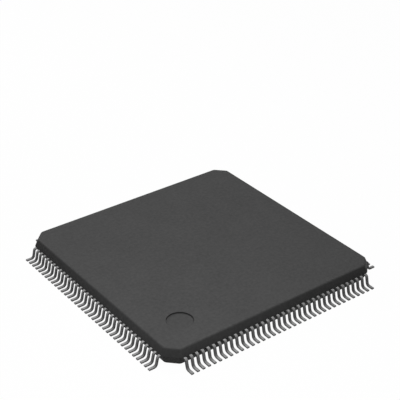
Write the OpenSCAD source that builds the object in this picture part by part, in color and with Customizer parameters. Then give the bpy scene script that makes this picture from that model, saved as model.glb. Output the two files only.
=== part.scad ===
// Microcontroller in a low-profile quad flat package.
// A moulded body holds a lead frame, a die and its bond wires, and a row of gull-wing leads
// comes out of each of its four sides.
// Millimetres, +Z up. The origin is the centre of the package on the seating plane.
// Lead 1 is at the left end of the front (-Y) row, beside the dimple, and the count goes on
// anticlockwise, seen from above: front, right, back, left.

/* [Moulded body] */
// Width and depth of the body at its parting line
body_size = 20; // [14:0.5:28]
// Height of the body above its parting line
upper_height = 0.62; // [0.5:0.01:0.9]
// Height of the body below its parting line
lower_height = 0.8; // [0.65:0.01:1]
// Clear height between the seating plane and the underside
standoff = 0.13; // [0.05:0.01:0.25]
// Leg of the chamfer on each of the four corners
corner_chamfer = 1; // [0.5:0.05:1.1]
// Slope of the side walls away from vertical, above and below the parting line
draft_angle = 22; // [5:1:25]
// Radius of the top and bottom edges
edge_radius = 0.16; // [0.05:0.01:0.2]

/* [Pin 1 mark] */
// Diameter of the dimple
dimple_d = 2.1; // [1:0.1:2.5]
// Depth of the dimple
dimple_depth = 0.11; // [0.03:0.01:0.15]
// Distance from the dimple's centre to the front and left sides of the body
dimple_inset = 3.05; // [2.2:0.05:4]

/* [Leads] */
// Spacing of neighbouring leads
lead_pitch = 0.5; // [0.4:0.05:0.8]
// Distance along a side from the body's square corner to the first lead
row_margin = 1.25; // [1.2:0.05:2]
// Width of a lead
lead_w = 0.24; // [0.16:0.01:0.28]
// Thickness of the lead frame sheet
lead_t = 0.127; // [0.1:0.001:0.16]
// Reach of a lead, from the parting line to its tip
lead_reach = 1; // [0.9:0.01:1.3]
// Length of the flat shoulder, from the parting line to the upper bend
shoulder_length = 0.18; // [0.15:0.01:0.22]
// Length of the foot, from the lower bend to the tip
foot_length = 0.64; // [0.53:0.01:0.77]
// Radius of the upper bend, to the middle of the sheet
knee_radius = 0.15; // [0.1:0.01:0.18]
// Radius of the lower bend, to the middle of the sheet
heel_radius = 0.26; // [0.1:0.01:0.28]

/* [Inner fingers] */
// Length of each lead that stays straight inside the body
finger_root = 0.4; // [0.2:0.05:0.6]
// Length of the straight tip that takes the bond
finger_tip_length = 0.5; // [0.3:0.05:0.8]
// Gap between neighbouring finger tips
finger_tip_gap = 0.12; // [0.08:0.01:0.14]
// Gap between the die pad and the ring of finger tips
ring_gap = 1.2; // [0.8:0.05:1.6]
// Distance along a side from the ring's square corner to the first finger
ring_margin = 0.6; // [0.55:0.05:0.8]

/* [Die and pad] */
// Width and depth of the die
die_size = 6.5; // [5:0.1:8]
// Thickness of the die
die_t = 0.28; // [0.2:0.01:0.35]
// Thickness of the adhesive under the die
attach_t = 0.03; // [0.02:0.005:0.05]
// Width of adhesive that shows round the die
attach_margin = 0.15; // [0.05:0.05:0.3]
// Width of pad that shows round the die
pad_margin = 0.75; // [0.5:0.05:1]
// Drop of the pad below the leads
pad_downset = 0.25; // [0.15:0.01:0.3]
// Radius of the bends at that drop, to the middle of the sheet
downset_radius = 0.12; // [0.08:0.01:0.14]
// Width of a tie bar
tie_w = 0.3; // [0.2:0.05:0.4]
// Length of a tie bar on the pad's level, from the pad's corner to the first bend
tie_root = 0.25; // [0.15:0.05:0.5]
// Distance from a tie bar's end to the chamfer at the parting line
tie_inset = 0.25; // [0.15:0.05:0.5]

/* [Bond wires] */
// Thickness of a wire
wire_t = 0.025; // [0.02:0.005:0.04]
// Diameter of the ball on the die
ball_d = 0.07; // [0.05:0.005:0.09]
// Height of the ball
ball_h = 0.02; // [0.015:0.005:0.03]
// Height of the loop above the die, to the middle of the wire
loop_height = 0.15; // [0.1:0.01:0.2]
// Flat length at the top of the loop
loop_flat = 0.3; // [0.1:0.05:0.5]
// Length of the stitch on the finger
stitch_length = 0.12; // [0.08:0.01:0.2]
// Distance from the balls to the edge of the die
bond_inset = 0.1; // [0.08:0.01:0.2]
// Distance along the die's edge from its corner to the first ball
bond_margin = 0.35; // [0.2:0.05:0.6]

/* [Hidden] */
SIDES = ["front", "right", "back", "left"];
BANKS = [1, 2, 3];
LEAD_NODES = [for (side = SIDES) for (bank = BANKS) str(side, "_leads_", bank)];
WIRE_NODES = [for (side = SIDES) for (bank = BANKS) str(side, "_wires_", bank)];

body_color = "#3f4042";
tin_color = "#b4b6b8";
copper_color = "#b87a55";
adhesive_color = "#9a9b98";
silicon_color = "#5c6474";
gold_color = "#d9b04a";

bend_steps = 6;
edge_steps = 5;
clear = 1; // overrun of cutting shapes

// Heights: the mould parts along the top of the lead frame sheet
parting_z = standoff + lower_height;
body_top = parting_z + upper_height;
sheet_z = parting_z - lead_t / 2;
foot_z = lead_t / 2;
pad_z = sheet_z - pad_downset;
pad_top = pad_z + lead_t / 2;
die_bottom = pad_top + attach_t;
die_top = die_bottom + die_t;

// Plan: distances from the centre towards a side, or towards a corner
body_half = body_size / 2;
chamfer_half = (body_size - corner_chamfer) / sqrt(2);
tip_half = body_half + lead_reach;
pad_half = die_size / 2 + pad_margin;
pad_corner = pad_half * sqrt(2);
ring_half = pad_half + ring_gap;
bond_half = die_size / 2 - bond_inset;

// Rows: places along a side, from the left end of the row
leads_per_side = floor((body_size - 2 * row_margin) / lead_pitch + 0.001) + 1;
finger_pitch = 2 * (ring_half - ring_margin) / (leads_per_side - 1);
finger_tip_w = finger_pitch - finger_tip_gap;
bond_pitch = (die_size - 2 * bond_margin) / (leads_per_side - 1);

function row_place(i, pitch) = (i - (leads_per_side - 1) / 2) * pitch;

// Leads of one bank, a third of a side
function bank_leads(bank) = [for (i = [0 : leads_per_side - 1])
    if (floor(i * len(BANKS) / leads_per_side) == bank - 1) i];

function unit(v) = v / norm(v);
function left_of(v) = [-v.y, v.x];

// Points of an arc that rounds the corner b between a and c
function corner_arc(a, b, c, radius, steps) =
    let (
        to_a = unit(a - b),
        to_c = unit(c - b),
        half_angle = acos(to_a * to_c) / 2,
        centre = b + unit(to_a + to_c) * radius / sin(half_angle),
        start = b + to_a * radius / tan(half_angle) - centre,
        turn = (cross(to_a, to_c) > 0 ? -1 : 1) * (180 - 2 * half_angle)
    )
    [for (s = [0 : steps]) let (t = turn * s / steps)
        centre + [start.x * cos(t) - start.y * sin(t), start.x * sin(t) + start.y * cos(t)]];

// An open path with its inner corners rounded, each by its own radius
function rounded_path(p, radii, steps) = [
    p[0],
    for (i = [1 : len(p) - 2]) each corner_arc(p[i - 1], p[i], p[i + 1], radii[i - 1], steps),
    p[len(p) - 1]
];

// Points beside a path, at a distance to its left
function path_side(p, distance) = [
    for (i = [0 : len(p) - 1])
        let (
            before = unit(p[max(i, 1)] - p[max(i, 1) - 1]),
            after = unit(p[min(i, len(p) - 2) + 1] - p[min(i, len(p) - 2)]),
            middle = unit(left_of(before) + left_of(after))
        )
        p[i] + middle * distance / (middle * left_of(before))
];

// Outline of a bent strip of even thickness along a path
function strip(p, thickness) = let (
    upper = path_side(p, thickness / 2),
    lower = path_side(p, -thickness / 2)
) concat(upper, [for (i = [len(lower) - 1 : -1 : 0]) lower[i]]);

// Turn a side outline, drawn as outward distance and height, so that outward is -Y
module along_front(width) {
    rotate([90, 0, -90])
        linear_extrude(width, center = true)
            children();
}

// Section of the body across two opposite walls
module wall_section(half) {
    upper = half - upper_height * tan(draft_angle);
    lower = half - lower_height * tan(draft_angle);
    top_corners = [[upper, body_top], [-upper, body_top]];
    bottom_corners = [[-lower, standoff], [lower, standoff]];
    right = [half, parting_z];
    left = [-half, parting_z];
    polygon(concat(
        [right],
        corner_arc(right, top_corners[0], top_corners[1], edge_radius, edge_steps),
        corner_arc(top_corners[0], top_corners[1], left, edge_radius, edge_steps),
        [left],
        corner_arc(left, bottom_corners[0], bottom_corners[1], edge_radius, edge_steps),
        corner_arc(bottom_corners[0], bottom_corners[1], right, edge_radius, edge_steps)
    ));
}

// Outside of the body: four pairs of drafted walls, two of them across the corners
module body_outside() {
    intersection_for (turn = [0, 45, 90, 135])
        rotate(turn)
            along_front(2 * body_size)
                wall_section(turn % 90 == 0 ? body_half : chamfer_half);
}

module pin_one_dimple() {
    place = dimple_inset - body_half;
    translate([place, place, body_top - dimple_depth])
        cylinder(h = dimple_depth + clear, d = dimple_d, $fn = 96);
}

// Side view of a lead: finger, shoulder, sloping leg and foot
module lead_section() {
    path = [
        [ring_half, sheet_z],
        [body_half + shoulder_length, sheet_z],
        [tip_half - foot_length, foot_z],
        [tip_half, foot_z]
    ];
    polygon(strip(rounded_path(path, [knee_radius, heel_radius], bend_steps), lead_t));
}

// Plan view of front lead i: straight outside the body, leaning in to its bond tip inside
module lead_plan(i) {
    outer = row_place(i, lead_pitch);
    inner = row_place(i, finger_pitch);
    stations = [
        [outer, -tip_half - clear, lead_w],
        [outer, finger_root - body_half, lead_w],
        [inner, -ring_half - finger_tip_length, finger_tip_w],
        [inner, -ring_half + clear, finger_tip_w]
    ];
    polygon(concat(
        [for (s = stations) [s.x + s.z / 2, s.y]],
        [for (k = [len(stations) - 1 : -1 : 0]) let (s = stations[k]) [s.x - s.z / 2, s.y]]
    ));
}

module front_lead(i) {
    intersection() {
        along_front(body_size)
            lead_section();
        linear_extrude(body_top)
            lead_plan(i);
    }
}

module leads(side, bank) {
    rotate(90 * side)
        for (i = bank_leads(bank))
            front_lead(i);
}

// A tie bar runs from corner to corner under the die, and steps up to the leads at both ends
module tie_bar() {
    inner = pad_corner + tie_root;
    outer = inner + pad_downset;
    end = chamfer_half - tie_inset;
    path = [
        [-end, sheet_z], [-outer, sheet_z], [-inner, pad_z],
        [inner, pad_z], [outer, sheet_z], [end, sheet_z]
    ];
    radii = [for (bend = [1 : len(path) - 2]) downset_radius];
    along_front(tie_w)
        polygon(strip(rounded_path(path, radii, bend_steps), lead_t));
}

module pad_solid() {
    translate([-pad_half, -pad_half, pad_z - lead_t / 2])
        cube([2 * pad_half, 2 * pad_half, lead_t]);
    for (turn = [45, 135])
        rotate(turn)
            tie_bar();
}

module attach_solid() {
    size = die_size + 2 * attach_margin;
    translate([-size / 2, -size / 2, pad_top])
        cube([size, size, attach_t]);
}

module die_solid() {
    translate([-die_size / 2, -die_size / 2, die_bottom])
        cube([die_size, die_size, die_t]);
}

// Front wire i: a ball on the die, a flat loop, and a stitch on the finger tip
module front_wire(i) {
    ball = [row_place(i, bond_pitch), -bond_half];
    stitch = [row_place(i, finger_pitch), -ring_half - finger_tip_length / 2];
    run = norm(stitch - ball);
    stitch_z = parting_z + wire_t / 2;
    path = [
        [0, die_top + ball_h / 2],
        [0, die_top + loop_height],
        [loop_flat, die_top + loop_height],
        [run - stitch_length / 2, stitch_z],
        [run + stitch_length / 2, stitch_z]
    ];
    translate(ball)
        rotate(atan2(stitch.x - ball.x, ball.y - stitch.y))
            along_front(wire_t)
                polygon(strip(path, wire_t));
    translate([ball.x, ball.y, die_top])
        cylinder(h = ball_h, d = ball_d, $fn = 8);
}

module wires(side, bank) {
    rotate(90 * side)
        for (i = bank_leads(bank))
            front_wire(i);
}

// All that the mould closes on
module inlay() {
    for (side = [0 : len(SIDES) - 1])
        for (bank = BANKS) {
            leads(side, bank);
            wires(side, bank);
        }
    pad_solid();
    attach_solid();
    die_solid();
}

module package_body() {
    color(body_color)
        difference() {
            body_outside();
            pin_one_dimple();
            inlay();
        }
}

module die_pad() {
    color(copper_color)
        pad_solid();
}

module die_attach() {
    color(adhesive_color)
        attach_solid();
}

module silicon_die() {
    color(silicon_color)
        die_solid();
}

package_body();
die_pad();
die_attach();
silicon_die();
for (k = [0 : len(LEAD_NODES) - 1]) {
    side = floor(k / len(BANKS));
    bank = BANKS[k % len(BANKS)];
    color(tin_color) leads(side, bank);
    color(gold_color) wires(side, bank);
}
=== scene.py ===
# Microcontroller in a quad flat pack: the moulded body, its gull-wing leads and what it holds.
# Metres, Z up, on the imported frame. Lead 1 stands beside the dimple, towards -X and -Y.
import math

import bmesh
import bpy
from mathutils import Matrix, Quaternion, Vector


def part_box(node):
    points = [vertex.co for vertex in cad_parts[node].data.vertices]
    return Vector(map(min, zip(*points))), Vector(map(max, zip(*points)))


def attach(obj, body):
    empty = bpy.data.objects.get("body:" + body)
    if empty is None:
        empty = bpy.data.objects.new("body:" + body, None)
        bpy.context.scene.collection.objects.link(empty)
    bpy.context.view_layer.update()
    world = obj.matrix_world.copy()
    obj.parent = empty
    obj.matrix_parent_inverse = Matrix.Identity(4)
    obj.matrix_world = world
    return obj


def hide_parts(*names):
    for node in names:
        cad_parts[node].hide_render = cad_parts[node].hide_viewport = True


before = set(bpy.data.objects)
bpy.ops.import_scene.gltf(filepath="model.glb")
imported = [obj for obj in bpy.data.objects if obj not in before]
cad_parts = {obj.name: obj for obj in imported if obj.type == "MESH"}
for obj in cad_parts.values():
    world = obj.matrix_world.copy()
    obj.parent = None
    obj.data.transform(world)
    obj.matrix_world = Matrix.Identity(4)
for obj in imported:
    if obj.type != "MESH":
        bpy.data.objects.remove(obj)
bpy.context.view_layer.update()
scene = bpy.context.scene
mm = 0.001
sides = ["front", "right", "back", "left"]  # anticlockwise from above, a quarter turn each
banks = [1, 2, 3]  # each side's row is in thirds
print("frame loaded with", len(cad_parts), "nodes")


# Places that the pieces share, read off the frame
bodyLow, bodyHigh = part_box("package_body")
rowStart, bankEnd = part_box("front_leads_1")
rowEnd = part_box("front_leads_3")[1]
bodyHalf = bodyHigh.x
bodyTop = bodyHigh.z
bodyBottom = bodyLow.z
partingHeight = rowEnd.z  # the mould parts along the top of the lead sheet
leadTip = -rowStart.y
fingerEnd = -bankEnd.y


# Node helpers
def feed(tree, socket, value):
    # a socket takes a plain value, or a link from another node
    if isinstance(value, bpy.types.NodeSocket):
        tree.links.new(value, socket)
    else:
        socket.default_value = value


def addNode(tree, kind, inputs=None, **settings):
    node = tree.nodes.new(kind)
    for name, value in settings.items():
        setattr(node, name, value)
    for name, value in (inputs or {}).items():
        feed(tree, node.inputs[name], value)
    return node


def reckon(tree, operation, *values):
    worked = addNode(tree, "ShaderNodeMath", dict(enumerate(values)), operation=operation)
    return worked.outputs["Value"]


def spread(tree, value, low, high, fromLow=0.3, fromHigh=0.7):
    ranged = addNode(tree, "ShaderNodeMapRange", {
        "Value": value, "From Min": fromLow, "From Max": fromHigh, "To Min": low, "To Max": high})
    return ranged.outputs["Result"]


def mixed(tree, share, first, second):
    blend = addNode(tree, "ShaderNodeMix", {"Factor": share, "A": first, "B": second}, data_type="RGBA")
    return blend.outputs["Result"]


def solid(colour):
    # a grey level, or red, green and blue, as a full colour
    return (*colour, 1.0) if isinstance(colour, tuple) else (colour, colour, colour, 1.0)


def blankTree(owner):
    owner.use_nodes = True
    owner.node_tree.nodes.clear()
    return owner.node_tree


def startMaterial(name):
    material = bpy.data.materials.new(name)
    tree = blankTree(material)
    shader = addNode(tree, "ShaderNodeBsdfPrincipled")
    addNode(tree, "ShaderNodeOutputMaterial", {"Surface": shader.outputs["BSDF"]})
    place = addNode(tree, "ShaderNodeTexCoord").outputs["Object"]
    return material, tree, shader, place


def noise(tree, place, grain, detail=3.0):
    # grain is the size of one patch, in metres
    texture = addNode(tree, "ShaderNodeTexNoise", {
        "Vector": place, "Scale": 1.0 / grain, "Detail": detail, "Roughness": 0.55})
    return texture.outputs["Fac"]


def ownMark(tree, name):
    # a share from 0 to 1 that the mesh itself carries
    return addNode(tree, "ShaderNodeAttribute", attribute_name=name).outputs["Fac"]


def bump(tree, shader, height, depth):
    relief = addNode(tree, "ShaderNodeBump", {"Height": height, "Strength": 1.0, "Distance": depth})
    feed(tree, shader.inputs["Normal"], relief.outputs["Normal"])


# Moulding compound: matte black epoxy with the spark-eroded skin of the mould, and painted shade in the
# dimple
mouldLook = {
    # the dimple's entry is the colour of the painted shade on its wall and floor
    "dark": 0.052, "light": 0.073, "dimple": 0.034, "cloud": 2.4 * mm, "cloudShare": 0.4,
    "shadeFrom": 0.4, "shadeTo": 1.0,  # cloud and mottle together, from dark to light
    "mottle": 0.25 * mm, "grain": 0.09 * mm, "speck": 0.03 * mm, "relief": 0.004 * mm,
    "roughLow": 0.6, "roughHigh": 0.78, "shine": 0.1,
}


def mouldCompound():
    look = mouldLook
    material, tree, shader, place = startMaterial("mouldCompound")
    cloud = noise(tree, place, look["cloud"], detail=2.0)
    mottle = noise(tree, place, look["mottle"])
    grain = noise(tree, place, look["grain"], detail=4.0)
    speck = noise(tree, place, look["speck"], detail=1.0)
    shade = reckon(tree, "MULTIPLY_ADD", cloud, look["cloudShare"], mottle)
    share = spread(tree, shade, 0.0, 1.0, look["shadeFrom"], look["shadeTo"])
    skin = mixed(tree, share, solid(look["dark"]), solid(look["light"]))
    # painted shade in the dimple, full on its wall and faint on its floor
    dimpleShaded = mixed(tree, ownMark(tree, "dimple"), skin, solid(look["dimple"]))
    feed(tree, shader.inputs["Base Color"], dimpleShaded)
    feed(tree, shader.inputs["Roughness"], spread(tree, grain, look["roughLow"], look["roughHigh"]))
    shader.inputs["Specular IOR Level"].default_value = look["shine"]
    bump(tree, shader, reckon(tree, "ADD", grain, speck), look["relief"])
    return material


# Tin plate: satin and a little cloudy, with painted shade on the legs between the bends and on the
# sides and toes of the sheet
tinLook = {
    # the two dull tones are painted shade: on the legs, and on the sides and toes of the sheet
    "dark": 0.28, "light": 0.35, "paintedLegShade": 0.215, "paintedSideShade": 0.125,
    "cloud": 0.25 * mm, "grain": 0.035 * mm, "relief": 0.0015 * mm,
    "heelBack": 0.42 * mm, "unshadedBack": 0.26 * mm,  # from the toe
    "legDown": 0.32 * mm, "kneeDown": 0.04 * mm,  # from the top of the sheet
    "roughLow": 0.42, "roughHigh": 0.6, "shine": 0.15,
}


def tinPlate():
    look = tinLook
    material, tree, shader, place = startMaterial("tinPlate")
    cloud = noise(tree, place, look["cloud"])
    grain = noise(tree, place, look["grain"], detail=2.0)
    spot = addNode(tree, "ShaderNodeSeparateXYZ", {"Vector": place}).outputs
    across = [reckon(tree, "ABSOLUTE", spot[axis]) for axis in "XY"]
    outward = reckon(tree, "MAXIMUM", *across)  # from the middle of the package
    # the legs and heels get painted shade, fading out along the foot towards the toe
    foot = spread(tree, outward, 1.0, 0.0, leadTip - look["heelBack"], leadTip - look["unshadedBack"])
    legTop = partingHeight - look["legDown"]
    knee = spread(tree, spot["Z"], 1.0, 0.0, legTop, partingHeight - look["kneeDown"])
    bright = mixed(tree, spread(tree, cloud, 0.0, 1.0), solid(look["dark"]), solid(look["light"]))
    paintedLegShade = mixed(tree, reckon(tree, "MINIMUM", foot, knee), bright, solid(look["paintedLegShade"]))
    # painted shade on the sides of the sheet and on the toe
    plate = mixed(tree, ownMark(tree, "paintedSideShade"), paintedLegShade, solid(look["paintedSideShade"]))
    feed(tree, shader.inputs["Base Color"], plate)
    feed(tree, shader.inputs["Roughness"], spread(tree, grain, look["roughLow"], look["roughHigh"]))
    shader.inputs["Specular IOR Level"].default_value = look["shine"]
    bump(tree, shader, grain, look["relief"])
    return material


# The pieces inside the mould: rolled copper, silver-filled adhesive, polished silicon, drawn gold
innerLooks = {
    "copperFrame": {"dark": (0.52, 0.25, 0.14), "light": (0.68, 0.37, 0.23), "grain": 0.3 * mm,
                    "roughLow": 0.3, "roughHigh": 0.45, "metal": 1.0, "relief": 0.002 * mm},
    "dieAdhesive": {"dark": (0.38, 0.38, 0.37), "light": (0.52, 0.52, 0.5), "grain": 0.08 * mm,
                    "roughLow": 0.5, "roughHigh": 0.7, "metal": 0.2, "relief": 0.004 * mm},
    "silicon": {"dark": (0.085, 0.1, 0.135), "light": (0.115, 0.14, 0.185), "grain": 0.5 * mm,
                "roughLow": 0.12, "roughHigh": 0.2, "metal": 0.6, "relief": 0.0004 * mm},
    "goldWire": {"dark": (0.75, 0.48, 0.13), "light": (0.9, 0.64, 0.24), "grain": 0.04 * mm,
                 "roughLow": 0.2, "roughHigh": 0.32, "metal": 1.0, "relief": 0.0005 * mm},
}


def innerMaterial(name):
    look = innerLooks[name]
    material, tree, shader, place = startMaterial(name)
    cloud = noise(tree, place, look["grain"])
    tone = mixed(tree, spread(tree, cloud, 0.0, 1.0), solid(look["dark"]), solid(look["light"]))
    feed(tree, shader.inputs["Base Color"], tone)
    feed(tree, shader.inputs["Roughness"], spread(tree, cloud, look["roughLow"], look["roughHigh"]))
    shader.inputs["Metallic"].default_value = look["metal"]
    bump(tree, shader, cloud, look["relief"])
    return material


mouldMaterial = mouldCompound()
tinMaterial = tinPlate()
innerMaterials = {name: innerMaterial(name) for name in innerLooks}
print("materials made:", len(bpy.data.materials))


# Finished pieces
def addPiece(name, mesh, material, slot, *nodes):
    mesh.materials.clear()
    mesh.materials.append(material)
    piece = bpy.data.objects.new(name, mesh)
    scene.collection.objects.link(piece)
    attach(piece, "root")
    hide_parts(*nodes)
    return piece


# Moulded body
bodyPiece = {
    "draft": math.radians(22), "chamfer": 1.0 * mm, "edgeRadius": 0.16 * mm, "cornerRadius": 0.35 * mm,
    "landRadius": 0.025 * mm, "edgeSteps": 6, "cornerSteps": 5, "landSteps": 3, "support": 0.03 * mm,
    "dimpleInset": 3.05 * mm, "dimpleRadius": 1.04 * mm, "dimpleDepth": 0.11 * mm,
    "dimpleRim": 0.012 * mm, "dimpleBase": 0.05 * mm, "dimpleSlope": math.radians(14),
    "dimpleSides": 72, "dimpleSteps": 4, "dimpleFade": 0.3 * mm,
    "wallShade": 1.0, "footShade": 0.15, "floorShade": 0.1,  # shares of the painted shade in the dimple: its wall, the foot of the wall and the floor
}


def cornerArc(before, corner, after, radius, steps):
    # points of a round between two straight runs, as (inset, height)
    toBefore = (before - corner).normalized()
    toAfter = (after - corner).normalized()
    halfAngle = toBefore.angle(toAfter) / 2
    centre = corner + (toBefore + toAfter).normalized() * radius / math.sin(halfAngle)
    start = corner + toBefore * radius / math.tan(halfAngle) - centre
    end = corner + toAfter * radius / math.tan(halfAngle) - centre
    turn = start.angle(end)
    points = []
    for step in range(steps + 1):
        share = step / steps
        arm = start * math.sin(turn * (1 - share)) + end * math.sin(turn * share)
        points.append(centre + arm / math.sin(turn))
    return points


def bodyProfile():
    # from the underside, up the drafted wall and over the parting line, to the top
    size = bodyPiece
    slope = math.tan(size["draft"])
    lowInset = (partingHeight - bodyBottom) * slope
    topInset = (bodyTop - partingHeight) * slope
    deep = 1.0 * mm
    underside = Vector((lowInset + deep, bodyBottom))
    lowEdge = Vector((lowInset, bodyBottom))
    land = Vector((0.0, partingHeight))
    topEdge = Vector((topInset, bodyTop))
    top = Vector((topInset + deep, bodyTop))
    lowArc = cornerArc(underside, lowEdge, land, size["edgeRadius"], size["edgeSteps"])
    landArc = cornerArc(lowEdge, land, topEdge, size["landRadius"], size["landSteps"])
    topArc = cornerArc(land, topEdge, top, size["edgeRadius"], size["edgeSteps"])
    inward = Vector((size["support"], 0.0))
    return [lowArc[0] + inward, *lowArc, *landArc, *topArc, topArc[-1] + inward]


def wallRing(inset, height):
    # an octagon of four walls and four chamfers, its upright edges rounded
    size = bodyPiece
    radius = size["cornerRadius"]
    steps = size["cornerSteps"]
    wall = bodyHalf - inset - radius
    chamfer = (2 * bodyHalf - size["chamfer"]) / math.sqrt(2) - inset - radius
    reach = chamfer * math.sqrt(2) - wall  # along a wall, from its middle to the round's centre
    points = []
    for quarter in range(4):
        for first, (x, y) in ((0, (wall, reach)), (45, (reach, wall))):
            for step in range(steps + 1):
                angle = math.radians(first + 45 * step / steps)
                point = Vector((x + radius * math.cos(angle), y + radius * math.sin(angle), height))
                point.rotate(Quaternion((0, 0, 1), quarter * math.pi / 2))
                points.append(point)
    return points


def dimpleProfile():
    # from the rim at the top face, down the wall to the floor, as (radius, height)
    size = bodyPiece
    floor = bodyTop - size["dimpleDepth"]
    foot = size["dimpleRadius"] - size["dimpleDepth"] * math.tan(size["dimpleSlope"])
    outside = Vector((size["dimpleRadius"] + 1.0 * mm, bodyTop))
    rim = Vector((size["dimpleRadius"], bodyTop))
    base = Vector((foot, floor))
    middle = Vector((0.0, floor))
    rimArc = cornerArc(outside, rim, base, size["dimpleRim"], size["dimpleSteps"])
    baseArc = cornerArc(rim, base, middle, size["dimpleBase"], size["dimpleSteps"])
    outward = Vector((size["support"], 0.0))
    inward = Vector((-size["dimpleFade"], 0.0))
    return [rimArc[0] + outward, *rimArc, *baseArc, baseArc[-1] - outward, baseArc[-1] + inward]


def dimpleRing(radius, height):
    size = bodyPiece
    place = size["dimpleInset"] - bodyHalf
    points = []
    for side in range(size["dimpleSides"]):
        angle = 2 * math.pi * side / size["dimpleSides"]
        x = place + radius * math.cos(angle)
        y = place + radius * math.sin(angle)
        points.append(Vector((x, y, height)))
    return points


def addRing(mesh, points):
    return [mesh.verts.new(point) for point in points]


def bridge(mesh, lower, upper):
    count = len(lower)
    for k in range(count):
        after = (k + 1) % count
        mesh.faces.new((lower[k], lower[after], upper[after], upper[k]))


def ringEdges(mesh, ring):
    return [mesh.edges.get((ring[k - 1], ring[k])) for k in range(len(ring))]


def mouldedBody():
    size = bodyPiece
    mesh = bmesh.new()
    # each dimple ring carries its share of the painted shade
    shade = mesh.verts.layers.float.new("dimple")
    walls = [addRing(mesh, wallRing(*step)) for step in bodyProfile()]
    for lower, upper in zip(walls, walls[1:]):
        bridge(mesh, lower, upper)
    dents = [addRing(mesh, dimpleRing(*step)) for step in dimpleProfile()]
    for outer, inner in zip(dents, dents[1:]):
        bridge(mesh, outer, inner)
    mesh.faces.new(dents[-1])
    foot = [size["footShade"], size["footShade"], size["floorShade"]]
    shades = [size["wallShade"]] * (size["dimpleSteps"] + 1) + foot
    for ring, share in zip(dents[-len(shades):], shades):
        for vert in ring:
            vert[shade] = share
    mesh.faces.new(reversed(walls[0]))
    border = ringEdges(mesh, walls[-1]) + ringEdges(mesh, dents[0])
    bmesh.ops.triangle_fill(mesh, edges=border, use_beauty=True, normal=(0, 0, 1))
    bmesh.ops.recalc_face_normals(mesh, faces=mesh.faces)
    data = bpy.data.meshes.new("packageBody")
    mesh.to_mesh(data)
    mesh.free()
    data.shade_smooth()
    return addPiece("packageBody", data, mouldMaterial, "mould_compound", "package_body")


mouldedBody()
print("body moulded")


# Leads
leadPiece = {
    "perSide": 36, "width": 0.24 * mm, "thickness": 0.127 * mm, "softEdge": 0.02 * mm,
    "shoulder": 0.18 * mm, "foot": 0.64 * mm, "knee": 0.15 * mm, "heel": 0.26 * mm, "bendSteps": 7,
    "root": 0.4 * mm, "bondTip": 0.5 * mm, "tipGap": 0.12 * mm, "ringMargin": 0.6 * mm,
    "toeScale": 0.8, "sideFrom": 0.3, "sideTo": 0.6, "sharpAngle": math.radians(35),
}


def leadSizes():
    size = leadPiece
    steps = size["perSide"] - 1
    fingerPitch = 2 * (fingerEnd - size["ringMargin"]) / steps
    return {
        "Pitch": (rowEnd.x - rowStart.x - size["width"]) / steps,
        "Finger Pitch": fingerPitch,
        "Width": size["width"],
        "Finger Width": fingerPitch - size["tipGap"],
        "Thickness": size["thickness"],
        "Soft Edge": size["softEdge"],
        "Knee Radius": size["knee"],
        "Heel Radius": size["heel"],
        "Sheet Height": partingHeight - size["thickness"] / 2,
        "Foot Height": size["thickness"] / 2,
        "Finger End": fingerEnd,
        "Bond Tip": fingerEnd + size["bondTip"],
        "Root": bodyHalf - size["root"],
        "Shoulder End": bodyHalf + size["shoulder"],
        "Foot Start": leadTip - size["foot"],
        "Soft Tip": leadTip - size["softEdge"],
        "Tip": leadTip,
    }


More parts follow.
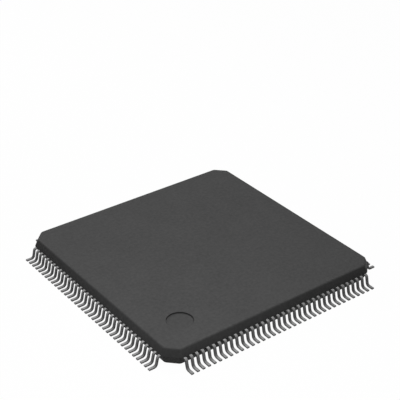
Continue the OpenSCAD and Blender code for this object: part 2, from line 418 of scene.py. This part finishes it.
def leadTree(sizes):
    tree = bpy.data.node_groups.new("leadRow", "GeometryNodeTree")
    ports = tree.interface
    ports.new_socket("Geometry", in_out="INPUT", socket_type="NodeSocketGeometry")
    ports.new_socket("Count", in_out="INPUT", socket_type="NodeSocketInt")
    for name in ("First", "Turn", *sizes):
        ports.new_socket(name, in_out="INPUT", socket_type="NodeSocketFloat")
    ports.new_socket("Geometry", in_out="OUTPUT", socket_type="NodeSocketGeometry")
    given = addNode(tree, "NodeGroupInput").outputs
    index = addNode(tree, "GeometryNodeInputIndex").outputs["Index"]
    position = addNode(tree, "GeometryNodeInputPosition").outputs["Position"]
    spot = addNode(tree, "ShaderNodeSeparateXYZ", {"Vector": position}).outputs
    distance = reckon(tree, "MULTIPLY", spot["Y"], -1.0)  # outward from the middle of the package

    # centre line of a lead, from its bond tip to the toe of its foot
    stations = [("Finger End", "Sheet Height"), ("Bond Tip", "Sheet Height"), ("Root", "Sheet Height"),
                ("Shoulder End", "Sheet Height"), ("Foot Start", "Foot Height"),
                ("Soft Tip", "Foot Height"), ("Tip", "Foot Height")]
    bends = {"Shoulder End": "Knee Radius", "Foot Start": "Heel Radius"}
    route = addNode(tree, "GeometryNodeIndexSwitch", {"Index": index}, data_type="VECTOR")
    radius = addNode(tree, "GeometryNodeIndexSwitch", {"Index": index}, data_type="FLOAT")
    for switch in (route, radius):
        while len(switch.index_switch_items) < len(stations):
            switch.index_switch_items.new()
    for k, (outward, height) in enumerate(stations):
        away = reckon(tree, "MULTIPLY", given[outward], -1.0)
        point = addNode(tree, "ShaderNodeCombineXYZ", {"Y": away, "Z": given[height]})
        feed(tree, route.inputs[k + 1], point.outputs["Vector"])
        if outward in bends:
            feed(tree, radius.inputs[k + 1], given[bends[outward]])
    line = addNode(tree, "GeometryNodeMeshLine", {"Count": len(stations)})
    placed = addNode(tree, "GeometryNodeSetPosition", {
        "Geometry": line.outputs["Mesh"], "Position": route.outputs["Output"]})
    path = addNode(tree, "GeometryNodeMeshToCurve", {"Mesh": placed.outputs["Geometry"]})
    rounded = addNode(tree, "GeometryNodeFilletCurve", {
        "Curve": path.outputs["Curve"], "Radius": radius.outputs["Output"],
        "Count": leadPiece["bendSteps"]}, mode="POLY")

    # section of the sheet, its edges softened by the plating
    section = addNode(tree, "GeometryNodeCurvePrimitiveQuadrilateral", {
        "Width": given["Width"], "Height": given["Thickness"]})
    softened = addNode(tree, "GeometryNodeFilletCurve", {
        "Curve": section.outputs["Curve"], "Radius": given["Soft Edge"], "Count": 1}, mode="POLY")
    swept = addNode(tree, "GeometryNodeCurveToMesh", {
        "Curve": rounded.outputs["Curve"], "Profile Curve": softened.outputs["Curve"],
        "Fill Caps": True,
        "Scale": spread(tree, distance, 1.0, leadPiece["toeScale"], given["Soft Tip"], given["Tip"])})

    # faces with painted shade: the sides of the sheet and the toe
    normal = addNode(tree, "GeometryNodeInputNormal").outputs["Normal"]
    sideways = addNode(tree, "ShaderNodeSeparateXYZ", {"Vector": normal}).outputs["X"]
    lean = reckon(tree, "ABSOLUTE", sideways)
    edge = spread(tree, lean, 0.0, 1.0, leadPiece["sideFrom"], leadPiece["sideTo"])
    toe = spread(tree, distance, 0.0, 1.0, given["Soft Tip"], given["Tip"])
    marked = addNode(tree, "GeometryNodeStoreNamedAttribute", {
        "Geometry": swept.outputs["Mesh"], "Name": "paintedSideShade",
        "Value": reckon(tree, "MAXIMUM", edge, toe)}, data_type="FLOAT", domain="FACE")

    # one lead for each step along the row, counted from the middle of the side
    row = addNode(tree, "GeometryNodeMeshLine", {"Count": given["Count"], "Offset": (0.0, 0.0, 0.0)})
    copies = addNode(tree, "GeometryNodeInstanceOnPoints", {
        "Points": row.outputs["Mesh"], "Instance": marked.outputs["Geometry"]})
    kept = addNode(tree, "GeometryNodeCaptureAttribute", {
        "Geometry": copies.outputs["Instances"]}, domain="INSTANCE")
    kept.capture_items.new("FLOAT", "Step")
    feed(tree, kept.inputs["Step"], reckon(tree, "ADD", index, given["First"]))
    real = addNode(tree, "GeometryNodeRealizeInstances", {"Geometry": kept.outputs["Geometry"]})

    # spread the row, and lean each finger in to its bond tip
    fan = (given["Bond Tip"], given["Root"])
    pitch = spread(tree, distance, given["Finger Pitch"], given["Pitch"], *fan)
    width = spread(tree, distance, given["Finger Width"], given["Width"], *fan)
    own = reckon(tree, "MULTIPLY", spot["X"], reckon(tree, "DIVIDE", width, given["Width"]))
    along = reckon(tree, "MULTIPLY_ADD", kept.outputs["Step"], pitch, own)
    moved = addNode(tree, "ShaderNodeCombineXYZ", {"X": along, "Y": spot["Y"], "Z": spot["Z"]})
    leaned = addNode(tree, "GeometryNodeSetPosition", {
        "Geometry": real.outputs["Geometry"], "Position": moved.outputs["Vector"]})

    # turn the row to its side
    angle = addNode(tree, "ShaderNodeCombineXYZ", {"Z": given["Turn"]})
    turned = addNode(tree, "GeometryNodeTransform", {
        "Geometry": leaned.outputs["Geometry"], "Rotation": angle.outputs["Vector"]})
    whole = addNode(tree, "GeometryNodeRealizeInstances", {"Geometry": turned.outputs["Geometry"]})
    plated = addNode(tree, "GeometryNodeSetMaterial", {
        "Geometry": whole.outputs["Geometry"], "Material": tinMaterial})
    addNode(tree, "NodeGroupOutput", {"Geometry": plated.outputs["Geometry"]})
    return tree


def grow(tree, values):
    # run a tree on an empty object and keep its result as a plain mesh
    seed = bpy.data.objects.new("seed", bpy.data.meshes.new("seed"))
    scene.collection.objects.link(seed)
    modifier = seed.modifiers.new("grow", "NODES")
    modifier.node_group = tree
    for item in tree.interface.items_tree:
        if item.in_out == "INPUT" and item.name in values:
            modifier[item.identifier] = values[item.name]
    graph = bpy.context.evaluated_depsgraph_get()
    graph.update()
    mesh = bpy.data.meshes.new_from_object(seed.evaluated_get(graph))
    seed.modifiers.remove(modifier)
    bpy.data.objects.remove(seed)
    return mesh


def leadRows():
    sizes = leadSizes()
    tree = leadTree(sizes)
    perBank = leadPiece["perSide"] // len(banks)
    for quarter, side in enumerate(sides):
        for bank in banks:
            first = (bank - 1) * perBank - (leadPiece["perSide"] - 1) / 2
            turn = quarter * math.pi / 2
            mesh = grow(tree, {**sizes, "Count": perBank, "First": first, "Turn": turn})
            mesh.shade_smooth()
            mesh.set_sharp_from_angle(angle=leadPiece["sharpAngle"])
            addPiece(f"{side}Leads{bank}", mesh, tinMaterial, "tin_plate", f"{side}_leads_{bank}")


leadRows()
print("leads formed:", len(sides) * leadPiece["perSide"])


# What the mould holds keeps its place and shape, and takes its finish here
innerFinish = {"die_pad": "copperFrame", "die_attach": "dieAdhesive", "silicon_die": "silicon"}
for side in sides:
    for bank in banks:
        innerFinish[f"{side}_wires_{bank}"] = "goldWire"
for node, finish in innerFinish.items():
    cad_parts[node].data.materials.clear()
    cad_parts[node].data.materials.append(innerMaterials[finish])
print("inner pieces finished:", len(innerFinish))


# Studio: a pale floor and backdrop, and soft lamps close over the dimple, high up and behind.
# The lamps' places and sizes are in mm.
studio = {"floorSize": 3.0, "floorPaint": 0.9, "floorBounce": 0.5, "floorWhite": 0.98}
lamps = {
    "nearLamp": {"place": (-14, -14, 30), "aim": (-14, -14, 0), "size": 12, "level": 0.55},
    "highLamp": {"place": (19, 19, 75), "aim": (0, 0, 0), "size": 20, "level": 0.46},
    "backLamp": {"place": (0, 69, 40), "aim": (0, 0, 0), "size": 20, "level": 0.21},
}


def directionOf(azimuth, elevation):
    # azimuth 0 stands in front, towards -Y, and 90 to the right
    a, e = math.radians(azimuth), math.radians(elevation)
    return Vector((math.sin(a) * math.cos(e), -math.cos(a) * math.cos(e), math.sin(e)))


def seenRay(tree):
    # 1 where the camera looks, straight or through metal and glass
    rays = addNode(tree, "ShaderNodeLightPath").outputs
    straight = reckon(tree, "MAXIMUM", rays["Is Camera Ray"], rays["Is Glossy Ray"])
    return reckon(tree, "MAXIMUM", straight, rays["Is Transmission Ray"])


def addFloor():
    material = bpy.data.materials.new("paleFloor")
    tree = blankTree(material)
    seen = seenRay(tree)
    paint = addNode(tree, "ShaderNodeBsdfDiffuse", {
        "Color": mixed(tree, seen, solid(studio["floorBounce"]), solid(studio["floorPaint"]))})
    glow = addNode(tree, "ShaderNodeEmission", {"Color": solid(1.0), "Strength": 1.0})
    surface = addNode(tree, "ShaderNodeMixShader", {
        "Fac": reckon(tree, "MULTIPLY", seen, studio["floorWhite"]),
        1: paint.outputs["BSDF"], 2: glow.outputs["Emission"]})
    addNode(tree, "ShaderNodeOutputMaterial", {"Surface": surface.outputs["Shader"]})
    half = studio["floorSize"] / 2
    mesh = bpy.data.meshes.new("floor")
    corners = [(-half, -half, 0.0), (half, -half, 0.0), (half, half, 0.0), (-half, half, 0.0)]
    mesh.from_pydata(corners, [], [(0, 1, 2, 3)])
    mesh.materials.append(material)
    floor = bpy.data.objects.new("floor", mesh)
    scene.collection.objects.link(floor)


def addBackdrop():
    scene.world = bpy.data.worlds.new("backdrop")
    tree = blankTree(scene.world)
    white = addNode(tree, "ShaderNodeBackground", {"Color": solid(1.0), "Strength": seenRay(tree)})
    addNode(tree, "ShaderNodeOutputWorld", {"Surface": white.outputs["Background"]})


def addLamp(name):
    # level 1 lights a face at its aim so that a colour renders as it is written
    plan = lamps[name]
    place = Vector(plan["place"]) * mm
    back = place - Vector(plan["aim"]) * mm
    lamp = bpy.data.lights.new(name, "AREA")
    lamp.shape = "DISK"
    lamp.size = plan["size"] * mm
    lamp.energy = plan["level"] * math.pi ** 2 * (back.length_squared + lamp.size ** 2 / 4)
    holder = bpy.data.objects.new(name, lamp)
    holder.location = place
    holder.rotation_mode = "QUATERNION"
    holder.rotation_quaternion = back.to_track_quat("Z", "Y")
    holder.visible_camera = False
    scene.collection.objects.link(holder)


# Camera at the photograph's angle
shot = {
    "azimuth": -36.724, "elevation": 33.56, "distance": 88.0 * mm, "lens": 97.79, "sensor": 36.0,
    "shiftX": 0.00176, "shiftY": 0.1602,
}


def addCamera():
    camera = bpy.data.cameras.new("camera")
    camera.lens = shot["lens"]
    camera.sensor_width = shot["sensor"]
    camera.shift_x = shot["shiftX"]
    camera.shift_y = shot["shiftY"]
    camera.clip_start = 1.0 * mm
    camera.clip_end = 10.0
    holder = bpy.data.objects.new("camera", camera)
    back = directionOf(shot["azimuth"], shot["elevation"])
    holder.location = back * shot["distance"]
    holder.rotation_mode = "QUATERNION"
    holder.rotation_quaternion = back.to_track_quat("Z", "Y")
    scene.collection.objects.link(holder)
    scene.camera = holder


addFloor()
addBackdrop()
for name in lamps:
    addLamp(name)
addCamera()
scene.view_settings.view_transform = "Standard"
print("studio and camera set")
